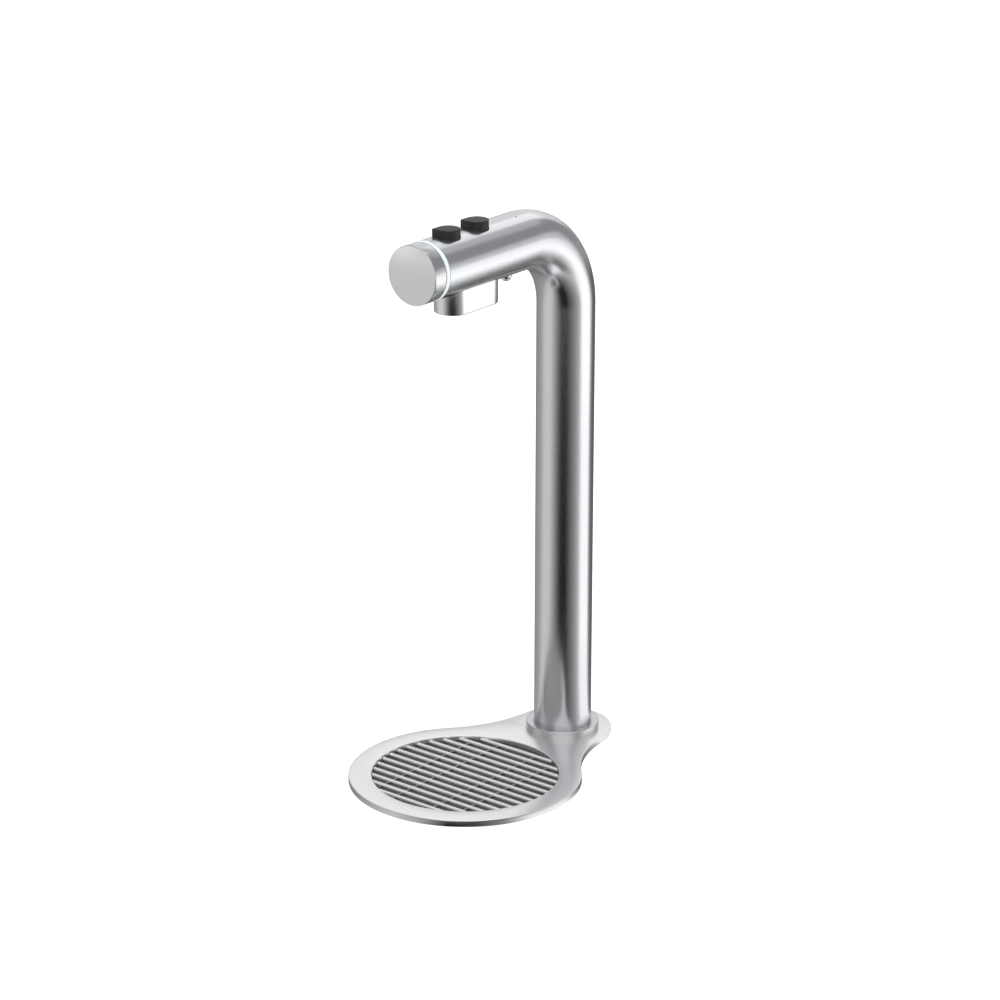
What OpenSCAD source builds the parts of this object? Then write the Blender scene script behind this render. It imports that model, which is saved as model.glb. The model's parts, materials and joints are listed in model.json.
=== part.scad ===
// Worktop hot and cold water tap: a swan-neck tower with two droplet buttons on
// its arm, a glowing ring behind the end cap, a round-ended outlet block, and a
// flat base plate that holds a wire drip grille over a shallow dish.
// Millimetres. The origin is on the column's axis at the worktop, +Z is up and
// the arm points along -Y.

/* [Column and arm] */
// Outside diameter of the swan-neck tube
tube_d = 50; // [45:0.5:60]
// Wall of the tube
tube_wall = 1.5; // [1:0.1:2]
// Height of the arm's axis above the worktop
arm_h = 459.5; // [300:0.5:600]
// Bend radius of the neck, at the tube's axis
bend_r = 67.5; // [50:0.5:75]
// Reach of the arm, from the column's axis to the front of the end cap
arm_reach = 201; // [180:0.5:300]

/* [Front end] */
// Length of the end cap
cap_l = 13.3; // [8:0.1:20]
// Thickness of the cap's front face
cap_face_t = 3; // [1:0.1:5]
// Bevel round the cap's front edge
cap_bevel = 0.6; // [0.2:0.1:1.5]
// Width of the light ring between the tube and the cap
ring_w = 5.5; // [3:0.1:8]
// Wall of the light ring's lip inside the tube
lip_wall = 1.4; // [1:0.1:2.5]
// Depth of the cap plug behind the tube's end
plug_back = 4; // [3:0.1:5]
// Diameter of the stub that the light board sits on
plug_stub_d = 12; // [6:0.5:20]
// Thickness of the circuit boards
board_t = 1.6; // [1:0.1:2]
// Number of lamps round the light board
lamp_count = 12; // [4:1:24]
// Height of each lamp
lamp_h = 0.8; // [0.5:0.1:1.2]
// Width of each lamp
lamp_w = 1.1; // [0.6:0.1:1.2]

/* [Buttons] */
// Radius of a droplet button
button_r = 9.8; // [8:0.1:11]
// Radius of the droplet's corner
button_corner = 1.2; // [0.5:0.1:3]
// Height of the button tops over the crest of the arm
button_rise = 5.5; // [3:0.1:8]
// Travel of a button
button_travel = 1.5; // [0.5:0.1:2]
// Distance of the buttons to the right of the crest of the arm
button_side = 2; // [0:0.1:3]
// Distance from the front of the cap to the front button
button_setback = 43.4; // [39:0.1:46]
// Distance between the two buttons
button_spacing = 36.2; // [30:0.1:38]
// Width of the flange that keeps a button in
flange_w = 1; // [0.5:0.1:1.5]
// Thickness of that flange
flange_t = 1.5; // [1:0.1:2]
// Diameter of a button's stem
stem_d = 7; // [5:0.1:8]
// Depth of a spring's pocket in the button carrier
pocket_depth = 4; // [3:0.1:6]
// Length of a stem's guide under its pocket
guide_l = 4; // [3:0.1:5]
// Length of the carrier past each button's centre
carrier_end = 13; // [12:0.5:14]
// Wire of the button springs
spring_wire = 0.8; // [0.5:0.1:1]
// Number of turns of a button spring
spring_turns = 4; // [3:1:5]
// Width of a switch
switch_w = 6; // [5:0.5:8]
// Height of a switch's body
switch_h = 3; // [2.5:0.1:4]
// Height of a switch's plunger
plunger_h = 0.8; // [0.5:0.1:1.5]
// Width of the switch board
board_w = 32; // [30:0.5:36]
// Diameter of the board screws
board_screw_d = 2.5; // [2:0.1:3]

/* [Outlet] */
// Width of the outlet block
outlet_w = 30.6; // [28:0.1:36]
// Length of the outlet block along the arm
outlet_l = 65.3; // [60:0.1:70]
// Drop of the outlet block below the arm's underside
outlet_drop = 16; // [10:0.5:30]
// Distance from the front of the cap to the middle of the block
outlet_setback = 68.15; // [64:0.05:70]
// Bevel round the block's lower edge
outlet_bevel = 1.2; // [0.3:0.1:2]
// Outside diameter of the nozzles
nozzle_d = 10; // [8:0.5:12]
// Bore of the nozzles
nozzle_bore = 6.5; // [4:0.5:7]
// Depth of the nozzle tips inside the block
nozzle_recess = 1; // [0.5:0.5:4]
// Cross-section of the nozzle seals
seal_d = 1.8; // [1:0.1:2]
// Diameter of the screw that holds the block
block_screw_d = 5; // [4:0.5:6]
// Distance of the domed clamp screw behind the block
clamp_setback = 19.2; // [12:0.1:22]
// Diameter of the clamp screw's head
clamp_head_d = 10; // [8:0.5:12]
// Height of that head below the arm's underside
clamp_head_h = 6; // [5.5:0.1:8]
// Diameter of the clamp screw's shank
clamp_d = 5; // [4:0.5:6]
// Diameter of the status light's lens
lens_d = 2; // [1.5:0.1:3]
// Turn of the lens from the crest of the arm, in degrees
lens_turn = 16; // [0:1:40]
// Distance of the lens from the start of the bend
lens_setback = 9; // [5:0.5:15]

/* [Hoses and wiring] */
// Outside diameter of the hot water hose
hot_hose_d = 9.5; // [8:0.5:10]
// Outside diameter of the cold water hose
cold_hose_d = 8; // [6:0.5:10]
// Wall of both hoses
hose_wall = 1.5; // [1:0.1:2]
// Distance of each hose from the middle plane
hose_spread = 9; // [8.5:0.1:10]
// Drop of the hoses below the switch board
hose_drop = 9.41; // [7:0.01:10]
// Depth of the hose sockets in the manifold
hose_socket = 12; // [8:0.5:14]
// Diameter of the wiring loom
loom_d = 5; // [3:0.5:6]
// Offset of the loom above the arm's axis
loom_rise = 8; // [7.5:0.1:9]

/* [Foot] */
// Outside diameter of the collar round the foot of the column
collar_d = 63.6; // [58:0.2:80]
// Height of the collar
collar_h = 5.7; // [4.8:0.1:12]
// Bevel round the collar's top edge
collar_bevel = 0.5; // [0.2:0.1:1.5]
// Height of the insert inside the foot of the column
insert_h = 38; // [34:1:60]
// Pitch circle of the tapped holes under the foot
bolt_pcd = 36; // [35:0.5:38]
// Tapping diameter of those holes, for M6
bolt_hole_d = 5; // [4:0.1:5.2]
// Depth of those holes
bolt_depth = 18; // [10:1:30]
// Diameter of the set screws behind the collar
set_screw_d = 4; // [3:0.5:4]
// Length of the set screws
set_screw_l = 5; // [4:0.5:5.5]
// Outside diameter of the push-in unions under the foot
union_d = 14; // [12.5:0.1:14]
// Length of the unions
union_l = 24; // [22:0.5:30]
// Tube size that a union takes
union_tube_d = 8; // [6:0.5:10]
// Depth of a union's tube socket
union_socket = 14; // [8:0.5:14]
// Diameter of the supply socket under the foot
supply_d = 10; // [8:0.5:11]
// Length of the supply socket
supply_l = 15; // [10:0.5:20]
// Inner radius of the foot seal
seal_ring_r = 27.5; // [26:0.5:30]
// Width of the foot seal
seal_ring_w = 5.5; // [3:0.5:8]
// Thickness of the foot seal
seal_ring_t = 1.5; // [1:0.1:2]

/* [Base plate and dish] */
// Thickness of the base plate
plate_t = 5.4; // [5:0.1:10]
// Radius of the plate's round front
disc_r = 99.5; // [92:0.5:130]
// Radius of the plate's tail round the column
tail_r = 43; // [40:0.5:60]
// Radius of the hollow curves between the front and the tail
neck_r = 115; // [80:1:180]
// Radius of the opening over the dish
tray_r = 80; // [75:0.5:85]
// Distance that the tray's centre lies ahead of the outlet block's middle
tray_lead = 1.65; // [-5:0.05:10]
// Width of the dish's rim under the plate
dish_rim = 6; // [4:0.5:8]
// Thickness of the dish
dish_t = 0.5; // [0.4:0.1:0.8]
// Thickness of the seal between the dish and the plate
gasket_t = 0.6; // [0.4:0.1:1]

/* [Grille] */
// Diameter of the grille's bars
bar_d = 3; // [2:0.1:3.2]
// Number of bars
bar_count = 14; // [8:2:14]
// Distance between bars
bar_pitch = 10.74; // [6:0.01:11]
// Diameter of the cross wires under the bars
wire_d = 1.6; // [1.4:0.1:1.8]
// Distance of the inner cross wires from the middle plane
wire_inner = 19.7; // [10:0.1:30]
// Distance of the outer cross wires from the middle plane
wire_outer = 43; // [35:0.1:60]
// Depth that the bars are sunk into the wires where they are welded
weld_depth = 1.3; // [1.2:0.05:1.5]

/* [Fits] */
// Radial clearance between pieces that are fixed together
fit_gap = 0.1; // [0.05:0.01:0.2]
// Radial clearance of a stem in its guide
slide_gap = 0.05; // [0.03:0.01:0.1]
// Clearance round a button in its well
well_gap = 0.35; // [0.2:0.05:0.5]
// Gap between faces that stop or rest against each other
seat_gap = 0.3; // [0.2:0.05:0.4]
// Clearance between the grille's ends and the plate
grille_gap = 0.5; // [0.3:0.1:1.5]

/* [Hidden] */
$fn = 64;

tube_r = tube_d / 2;
bore_r = tube_r - tube_wall;
over = 1;

// Reaches along the arm, counted forwards from the column's axis
ring_rear = arm_reach - cap_l - ring_w;
ring_front = arm_reach - cap_l;
front_button_at = arm_reach - button_setback;
rear_button_at = front_button_at - button_spacing;
outlet_at = arm_reach - outlet_setback;
block_rear = outlet_at - outlet_l / 2;
cold_nozzle_at = outlet_at + (outlet_l - outlet_w) / 2;
hot_nozzle_at = outlet_at - (outlet_l - outlet_w) / 2;
dish_r = tray_r + dish_rim;
foot_wall = 1.5;
tray_at = max(outlet_at + tray_lead, dish_r + seal_ring_r + seal_ring_w + foot_wall);
lens_at = bend_r + lens_setback;

// Heights of the button stack, from the tube's bore downwards
button_top = arm_h + tube_r + button_rise;
flange_top = arm_h + sqrt(bore_r ^ 2 - (button_side + button_r + flange_w) ^ 2) - seat_gap;
flange_z = flange_top - flange_t;
carrier_top = flange_z - button_travel - seat_gap;
pocket_z = carrier_top - pocket_depth;
carrier_z = pocket_z - guide_l;
plunger_z = carrier_z - seat_gap;
stem_z = plunger_z + seat_gap + button_travel;
board_top = plunger_z - plunger_h - switch_h;
board_z = board_top - board_t;
carrier_front = front_button_at + carrier_end;
carrier_rear = rear_button_at - carrier_end;

// Springs sit round the stems, clear of them and of their pockets
spring_r = stem_d / 2 + spring_wire / 2 + seat_gap;
pocket_r = spring_r + spring_wire / 2 + seat_gap;
spring_l = flange_z - pocket_z;

// Switch board, its screws and its plug
leg_d = 2 * board_screw_d + 1;
leg_x = board_w / 2 - leg_d / 2;
leg_inset = 4;
screw_head_d = 1.8 * board_screw_d;
screw_head_h = 0.6 * board_screw_d;
plug_l = 8;
plug_w = 14;
plug_top = arm_h + loom_rise + loom_d / 2 + 1;
plunger_d = 3.5;

// Outlet parts
outlet_z = arm_h - tube_r - outlet_drop;
clamp_edge = 7;
clamp_at = max(block_rear - clamp_setback, bend_r + clamp_edge);
manifold_end = 8;
manifold_rear = clamp_at - manifold_end;
manifold_front = cold_nozzle_at + nozzle_d + 2;
manifold_neck = 18;
manifold_wall = 1.5;
channel_d = 5;
hose_z = board_z - hose_drop;
hose_up = hose_z - arm_h;
hose_top = hose_z + max(hot_hose_d, cold_hose_d) / 2 + fit_gap + manifold_wall;
manifold_top = hose_z + channel_d / 2 + manifold_wall;
bore_floor = arm_h - bore_r;
nozzle_depth = 10;
nozzle_top = bore_floor + nozzle_depth;
seal_height = 6;
seal_z = bore_floor + seal_height;
block_screw_depth = 11;
block_screw_top = bore_floor + block_screw_depth;
block_head_d = 1.7 * block_screw_d;
block_head_h = block_screw_d;
clamp_depth = 12;
clamp_top = bore_floor + clamp_depth;

// Front end
plug_r = bore_r - lip_wall - 2 * fit_gap;
lip_l = plug_back - lamp_h - seat_gap;
lamp_r = bore_r - fit_gap - lip_wall / 2;

// Foot
union_z = 0.5;
union_top = union_z + union_l;
union_hose_socket = 6;
supply_z = 0.5;
set_screw_z = plate_t + collar_h / 2 + 0.2;
pin_d = 1;
pin_r = 2;

// Dish and grille, stacked up from the worktop
rebate_h = dish_t + gasket_t + fit_gap;
wire_z = dish_t + seat_gap + wire_d / 2;
bar_z = wire_z + wire_d / 2 + bar_d / 2 - weld_depth;
grille_r = tray_r - grille_gap;

// Length of a bar or wire of the grille at a distance from its middle
function chord(r, off) = 2 * sqrt(r ^ 2 - off ^ 2);

// Points and faces of a round wire wound into an open coil that stands on z = 0
coil_sides = 6;
coil_steps = 8;
function coil_point(r, wire, rise, turns, i, j) =
    let (a = 360 * i / coil_steps, b = 360 * j / coil_sides, q = r + wire / 2 * cos(b))
    [q * cos(a), q * sin(a), wire / 2 + rise * i / (coil_steps * turns) + wire / 2 * sin(b)];
function coil_points(r, wire, rise, turns) =
    [for (i = [0 : coil_steps * turns]) for (j = [0 : coil_sides - 1]) coil_point(r, wire, rise, turns, i, j)];
function coil_faces(turns) =
    let (n = coil_sides, last = coil_steps * turns * n)
    concat([for (j = [1 : n - 2]) [0, j, j + 1]],
           [for (j = [1 : n - 2]) [last, last + j + 1, last + j]],
           [for (i = [0 : coil_steps * turns - 1]) for (j = [0 : n - 1])
               let (k = (j + 1) % n) [i * n + j, (i + 1) * n + j, i * n + k]],
           [for (i = [0 : coil_steps * turns - 1]) for (j = [0 : n - 1])
               let (k = (j + 1) % n) [i * n + k, (i + 1) * n + j, (i + 1) * n + k]]);

// Round bar along the arm, between two reaches, set off sideways and upwards
module arm_rod(d, from, to, side = 0, up = 0) {
    translate([side, -from, arm_h + up])
        rotate([90, 0, 0])
            cylinder(d = d, h = to - from);
}

// Round bar up the column, round the bend and along the arm
module neck_rod(d, from_z, to_reach, side = 0, up = 0) {
    translate([side, up, from_z])
        cylinder(d = d, h = arm_h - bend_r - from_z);
    translate([0, -bend_r, arm_h - bend_r])
        rotate([90, 0, 90])
            rotate_extrude(angle = 90)
                translate([bend_r + up, side])
                    circle(d = d);
    arm_rod(d, bend_r, to_reach, side, up);
}

// Places a turned piece on the arm's axis, its own +Z pointing forwards
module on_arm(reach) {
    translate([0, -reach, arm_h])
        rotate([90, 0, 0])
            children();
}

// Flat ring, standing on z = 0
module ring(inner_r, outer_r, h) {
    difference() {
        cylinder(r = outer_r, h = h);
        translate([0, 0, -over])
            cylinder(r = inner_r, h = h + 2 * over);
    }
}

// Droplet outline: a circle with one rounded corner
module droplet(r, corner) {
    circle(r);
    translate([corner - r, corner - r])
        circle(corner);
    polygon([[0, 0], [-r, 0], [-r, corner - r], [corner - r, -r], [0, -r]]);
}

// Round-ended block along Y with a bevelled lower edge
module pill_block(w, l, h, bevel) {
    r = w / 2;
    for (end = [-1, 1])
        translate([0, end * (l - w) / 2, 0]) {
            cylinder(r1 = r - bevel, r2 = r, h = bevel);
            translate([0, 0, bevel])
                cylinder(r = r, h = h - bevel);
        }
    translate([0, (l - w) / 2, 0])
        rotate([90, 0, 0])
            linear_extrude(l - w)
                polygon([[bevel - r, 0], [r - bevel, 0], [r, bevel], [r, h], [-r, h], [-r, bevel]]);
}

// Outline of the base plate: a round front, a round tail and two hollow curves between
module plate_outline() {
    reach_disc = disc_r + neck_r;
    reach_tail = tail_r + neck_r;
    back = (reach_disc ^ 2 - reach_tail ^ 2 - tray_at ^ 2) / (2 * tray_at);
    side = sqrt(reach_tail ^ 2 - back ^ 2);
    circle(tail_r);
    translate([0, -tray_at])
        circle(disc_r);
    difference() {
        polygon([[0, -tray_at], [side, back], [0, 0], [-side, back]]);
        for (s = [-1, 1])
            translate([s * side, back])
                circle(neck_r);
    }
}

module base_plate() {
    color("silver")
        difference() {
            linear_extrude(plate_t)
                plate_outline();
            translate([0, -tray_at, -over])
                cylinder(r = tray_r, h = plate_t + 2 * over);
            translate([0, -tray_at, -over])
                cylinder(r = dish_r + fit_gap, h = rebate_h + over);
            translate([0, 0, -over])
                cylinder(r = bore_r, h = plate_t + 2 * over);
            translate([0, 0, -over])
                ring(seal_ring_r - fit_gap, seal_ring_r + seal_ring_w + fit_gap, seal_ring_t + fit_gap + over);
        }
}

module drip_dish() {
    color("dimgray")
        translate([0, -tray_at, 0])
            cylinder(r = dish_r, h = dish_t);
}

module dish_gasket() {
    color("black")
        translate([0, -tray_at, dish_t])
            ring(tray_r + grille_gap, dish_r, gasket_t);
}

module drip_grille() {
    color("gainsboro")
        translate([0, -tray_at, 0])
            intersection() {
                union() {
                    for (i = [0 : bar_count - 1]) {
                        off = (i - (bar_count - 1) / 2) * bar_pitch;
                        l = chord(grille_r, off) + bar_d;
                        translate([-l / 2, off, bar_z])
                            rotate([0, 90, 0])
                                cylinder(d = bar_d, h = l);
                    }
                    for (x = [-wire_outer, -wire_inner, wire_inner, wire_outer]) {
                        l = chord(grille_r - bar_d, x);
                        translate([x, l / 2, wire_z])
                            rotate([90, 0, 0])
                                cylinder(d = wire_d, h = l);
                    }
                }
                cylinder(r = grille_r, h = plate_t + bar_z);
            }
}

module foot_seal() {
    color("black")
        ring(seal_ring_r, seal_ring_r + seal_ring_w, seal_ring_t);
}

module foot_collar() {
    r = collar_d / 2;
    color("silver")
        translate([0, 0, plate_t])
            rotate_extrude()
                polygon([[tube_r + fit_gap, 0], [r, 0], [r, collar_h - collar_bevel],
                         [r - collar_bevel, collar_h], [tube_r + fit_gap, collar_h]]);
}

// Places the three set screws round the foot, pointing outwards along +Z
module set_screw_places() {
    for (a = [0 : 90 : 180])
        rotate(a)
            translate([tube_r - fit_gap - set_screw_l, 0, set_screw_z])
                rotate([0, 90, 0])
                    children();
}

module foot_insert() {
    color("darkgray")
        difference() {
            cylinder(r = bore_r - fit_gap, h = insert_h);
            for (a = [30 : 120 : 270])
                rotate(a)
                    translate([bolt_pcd / 2, 0, -over])
                        cylinder(d = bolt_hole_d, h = bolt_depth + over);
            for (s = [[-hose_spread, hot_hose_d], [hose_spread, cold_hose_d]])
                translate([s[0], hose_up, -over]) {
                    cylinder(r = union_d / 2 + fit_gap, h = union_top + fit_gap + over);
                    cylinder(d = s[1] + 1, h = insert_h + 2 * over);
                }
            translate([0, loom_rise, -over]) {
                cylinder(r = supply_d / 2 + fit_gap, h = supply_z + supply_l + fit_gap + over);
                cylinder(d = loom_d + 1, h = insert_h + 2 * over);
            }
            set_screw_places()
                cylinder(r = set_screw_d / 2 + fit_gap, h = set_screw_l + over);
        }
}

module set_screws() {
    color("dimgray")
        set_screw_places()
            difference() {
                cylinder(d = set_screw_d, h = set_screw_l);
                translate([0, 0, set_screw_l / 2])
                    cylinder(d = set_screw_d / 2, h = set_screw_l, $fn = 6);
            }
}

// Push-in union: a tube socket below, a hose socket above and a bore between
module push_union(side, hose_d) {
    translate([side, hose_up, union_z])
        difference() {
            cylinder(d = union_d, h = union_l);
            translate([0, 0, -over])
                cylinder(r = union_tube_d / 2 + slide_gap, h = union_socket + over);
            cylinder(d = hose_d - 2 * hose_wall, h = union_l);
            translate([0, 0, union_l - union_hose_socket])
                cylinder(r = hose_d / 2 + fit_gap, h = union_hose_socket + over);
        }
}

module hot_union() {
    color("firebrick")
        push_union(-hose_spread, hot_hose_d);
}

module cold_union() {
    color("steelblue")
        push_union(hose_spread, cold_hose_d);
}

module supply_socket() {
    socket_depth = supply_l / 2;
    color("black")
        translate([0, loom_rise, supply_z]) {
            difference() {
                cylinder(d = supply_d, h = supply_l);
                translate([0, 0, -over])
                    cylinder(d = supply_d - 3, h = socket_depth + over);
            }
            for (a = [45 : 90 : 315])
                rotate(a)
                    translate([pin_r, 0, 1])
                        cylinder(d = pin_d, h = socket_depth);
        }
}

// Holes of the tube for the nozzles, the block's screw, the clamp screw and the lens
module neck_holes() {
    hole_z = outlet_z;
    hole_h = arm_h - hole_z - bore_r / 2;
    for (y = [hot_nozzle_at, cold_nozzle_at])
        translate([0, -y, hole_z])
            cylinder(r = nozzle_d / 2 + 2 * fit_gap, h = hole_h);
    translate([0, -outlet_at, hole_z])
        cylinder(r = block_screw_d / 2 + 2 * fit_gap, h = hole_h);
    translate([0, -clamp_at, hole_z])
        cylinder(r = clamp_d / 2 + 2 * fit_gap, h = hole_h);
    translate([0, -lens_at, arm_h])
        rotate([0, lens_turn, 0])
            cylinder(d = lens_d, h = tube_d);
}

module swan_neck() {
    color("lightgray")
        difference() {
            neck_rod(tube_d, plate_t, ring_rear);
            neck_rod(2 * bore_r, plate_t - over, ring_rear + over);
            for (y = [front_button_at, rear_button_at])
                translate([button_side, -y, arm_h])
                    linear_extrude(tube_d)
                        droplet(button_r + well_gap, button_corner + well_gap);
            neck_holes();
            set_screw_places()
                cylinder(r = set_screw_d / 2 + fit_gap, h = set_screw_l + 2 * over);
        }
}

module status_lens() {
    head_t = 1;
    color("white")
        translate([0, -lens_at, arm_h])
            rotate([0, lens_turn, 0]) {
                translate([0, 0, bore_r - head_t])
                    cylinder(r = lens_d / 2 - fit_gap / 2, h = head_t + tube_wall);
                translate([0, 0, bore_r - 2 * head_t])
                    cylinder(d = 2 * lens_d, h = head_t);
            }
}

// Hose from its union in the foot to its socket in the manifold
module hose(side, d) {
    from_z = union_top - union_hose_socket;
    to_reach = manifold_rear + hose_socket;
    difference() {
        neck_rod(d, from_z, to_reach, side, hose_up);
        neck_rod(d - 2 * hose_wall, from_z - over, to_reach + over, side, hose_up);
    }
}

module hot_hose() {
    color("tomato")
        hose(-hose_spread, hot_hose_d);
}

module cold_hose() {
    color("lightskyblue")
        hose(hose_spread, cold_hose_d);
}

module wiring_loom() {
    color("dimgray")
        neck_rod(loom_d, supply_z + supply_l, carrier_rear - plug_l, 0, loom_rise);
}

module loom_plug() {
    color("ivory")
        translate([-plug_w / 2, -carrier_rear, board_top])
            cube([plug_w, plug_l, plug_top - board_top]);
}

// Water passages of the manifold, from a hose socket to a nozzle
module water_way(side, hose_d, nozzle_at) {
    arm_rod(hose_d + 2 * fit_gap, manifold_rear - over, manifold_rear + hose_socket, side, hose_up);
    arm_rod(channel_d, manifold_rear, nozzle_at, side, hose_up);
    translate([0, -nozzle_at, hose_z])
        rotate([0, side > 0 ? 90 : -90, 0])
            cylinder(d = channel_d, h = abs(side));
    translate([0, -nozzle_at, nozzle_top - over])
        cylinder(d = channel_d, h = hose_z - nozzle_top + over);
    translate([0, -nozzle_at, arm_h - tube_d])
        cylinder(r = nozzle_d / 2 + fit_gap, h = nozzle_top + fit_gap - arm_h + tube_d);
    translate([0, -nozzle_at, seal_z - seal_d / 2 - fit_gap])
        cylinder(r = nozzle_d / 2 + seal_d + 2 * fit_gap, h = seal_d + 2 * fit_gap);
}

module outlet_manifold() {
    color("whitesmoke")
        difference() {
            intersection() {
                arm_rod(2 * (bore_r - fit_gap), manifold_rear, manifold_front);
                union() {
                    translate([-tube_r, -manifold_front, arm_h - tube_r])
                        cube([tube_d, manifold_front - manifold_rear, manifold_top - arm_h + tube_r]);
                    translate([-tube_r, -manifold_rear - manifold_neck, arm_h - tube_r])
                        cube([tube_d, manifold_neck, hose_top - arm_h + tube_r]);
                }
            }
            water_way(-hose_spread, hot_hose_d, hot_nozzle_at);
            water_way(hose_spread, cold_hose_d, cold_nozzle_at);
            translate([0, -outlet_at, arm_h - tube_d])
                cylinder(r = block_screw_d / 2 + fit_gap, h = block_screw_top + seat_gap - arm_h + tube_d);
            translate([0, -clamp_at, arm_h - tube_d])
                cylinder(r = clamp_d / 2 + fit_gap, h = clamp_top + seat_gap - arm_h + tube_d);
        }
}

module outlet_block() {
    color("gainsboro")
        difference() {
            translate([0, -outlet_at, outlet_z])
                pill_block(outlet_w, outlet_l, outlet_drop + tube_r, outlet_bevel);
            arm_rod(tube_d + 2 * fit_gap, bend_r, arm_reach);
            for (y = [hot_nozzle_at, cold_nozzle_at])
                translate([0, -y, outlet_z - over])
                    cylinder(r = nozzle_d / 2 + fit_gap, h = outlet_drop + tube_r);
            translate([0, -outlet_at, outlet_z - over]) {
                cylinder(r = block_screw_d / 2 + fit_gap, h = outlet_drop + tube_r);
                cylinder(r = block_head_d / 2 + fit_gap, h = block_head_h + 2 * over);
            }
        }
}

module block_screw() {
    head_z = outlet_z + over;
    color("silver")
        translate([0, -outlet_at, head_z])
            difference() {
                union() {
                    cylinder(d = block_head_d, h = block_head_h);
                    cylinder(d = block_screw_d, h = block_screw_top - head_z);
                }
                translate([0, 0, -over])
                    cylinder(d = 0.9 * block_screw_d, h = over + block_head_h / 2, $fn = 6);
            }
}

// Nozzle: a plain tube with a flared mouth
module nozzle(at) {
    tip_z = outlet_z + nozzle_recess;
    flare = 0.8;
    color("silver")
        translate([0, -at, tip_z])
            rotate_extrude()
                polygon([[nozzle_bore / 2 + flare, 0], [nozzle_d / 2, 0], [nozzle_d / 2, nozzle_top - tip_z],
                         [nozzle_bore / 2, nozzle_top - tip_z], [nozzle_bore / 2, 2 * flare]]);
}

module hot_nozzle() {
    nozzle(hot_nozzle_at);
}

module cold_nozzle() {
    nozzle(cold_nozzle_at);
}

module nozzle_seals() {
    color("black")
        for (y = [hot_nozzle_at, cold_nozzle_at])
            translate([0, -y, seal_z])
                rotate_extrude()
                    translate([nozzle_d / 2 + seal_d / 2 + fit_gap, 0])
                        circle(d = seal_d, $fn = 32);
}

module clamp_screw() {
    head_r = clamp_head_d / 2;
    head_z = arm_h - tube_r - clamp_head_h;
    color("gainsboro")
        translate([0, -clamp_at, 0]) {
            difference() {
                intersection() {
                    translate([0, 0, head_z])
                        cylinder(r = head_r, h = clamp_head_h + over);
                    union() {
                        translate([0, 0, head_z + head_r])
                            sphere(head_r);
                        translate([0, 0, head_z + head_r])
                            cylinder(r = head_r, h = clamp_head_h);
                    }
                }
                translate([0, clamp_at, 0])
                    arm_rod(tube_d + 2 * fit_gap, bend_r, arm_reach);
            }
            translate([0, 0, head_z + head_r])
                cylinder(d = clamp_d, h = clamp_top - head_z - head_r);
        }
}

// Places four pieces at the corners of the switch board, at a given height
module board_corners(z) {
    for (x = [-leg_x, leg_x])
        for (y = [carrier_front - leg_inset, carrier_rear + leg_inset])
            translate([x, -y, z])
                children();
}

module button_carrier() {
    color("darkslategray")
        difference() {
            union() {
                intersection() {
                    arm_rod(2 * (bore_r - fit_gap), carrier_rear, carrier_front);
                    translate([-tube_r, -carrier_front, carrier_z])
                        cube([tube_d, carrier_front - carrier_rear, carrier_top - carrier_z]);
                }
                board_corners(board_top)
                    cylinder(d = leg_d, h = carrier_z - board_top + over);
            }
            for (y = [front_button_at, rear_button_at])
                translate([button_side, -y, 0]) {
                    translate([0, 0, pocket_z])
                        cylinder(r = pocket_r, h = pocket_depth + over);
                    translate([0, 0, carrier_z - over])
                        cylinder(r = stem_d / 2 + slide_gap, h = guide_l + 2 * over);
                }
            board_corners(board_top - over)
                cylinder(r = board_screw_d / 2 + slide_gap, h = carrier_z - board_top + 2 * over);
        }
}

// Droplet button with its keeping flange and its stem
module button(at) {
    color("black")
        translate([button_side, -at, 0]) {
            translate([0, 0, flange_z])
                linear_extrude(button_top - flange_z)
                    droplet(button_r, button_corner);
            translate([0, 0, flange_z])
                linear_extrude(flange_t)
                    droplet(button_r + flange_w, button_corner + flange_w);
            translate([0, 0, stem_z])
                cylinder(d = stem_d, h = flange_z - stem_z);
        }
}

module front_button() {
    button(front_button_at);
}

module rear_button() {
    button(rear_button_at);
}

// Coil spring between its pocket and the button's flange
module button_spring(at) {
    l = spring_l - 2 * fit_gap;
    color("silver")
        translate([button_side, -at, pocket_z + fit_gap])
            polyhedron(coil_points(spring_r, spring_wire, l - spring_wire, spring_turns),
                       coil_faces(spring_turns), convexity = 10);
}

module front_spring() {
    button_spring(front_button_at);
}

module rear_spring() {
    button_spring(rear_button_at);
}

module switch_board() {
    color("darkgreen")
        difference() {
            translate([-board_w / 2, -carrier_front, board_z])
                cube([board_w, carrier_front - carrier_rear + plug_l, board_t]);
            board_corners(board_z - over)
                cylinder(r = board_screw_d / 2 + fit_gap, h = board_t + 2 * over);
        }
}

module tact_switch(at) {
    color("dimgray")
        translate([button_side, -at, board_top]) {
            translate([-switch_w / 2, -switch_w / 2, 0])
                cube([switch_w, switch_w, switch_h]);
            cylinder(d = plunger_d, h = switch_h + plunger_h);
        }
}

module front_switch() {
    tact_switch(front_button_at);
}

module rear_switch() {
    tact_switch(rear_button_at);
}

module board_screws() {
    color("silver")
        board_corners(board_z) {
            translate([0, 0, -screw_head_h])
                cylinder(d = screw_head_d, h = screw_head_h);
            cylinder(d = board_screw_d, h = carrier_z - board_z);
        }
}

module light_board() {
    color("white")
        on_arm(ring_rear - plug_back) {
            translate([0, 0, -board_t])
                ring(plug_stub_d / 2 + fit_gap, bore_r - seat_gap, board_t);
            for (i = [0 : lamp_count - 1])
                rotate(360 * i / lamp_count)
                    translate([lamp_r - lamp_w / 2, -lamp_w / 2, 0])
                        cube([lamp_w, lamp_w, lamp_h]);
        }
}

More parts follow.
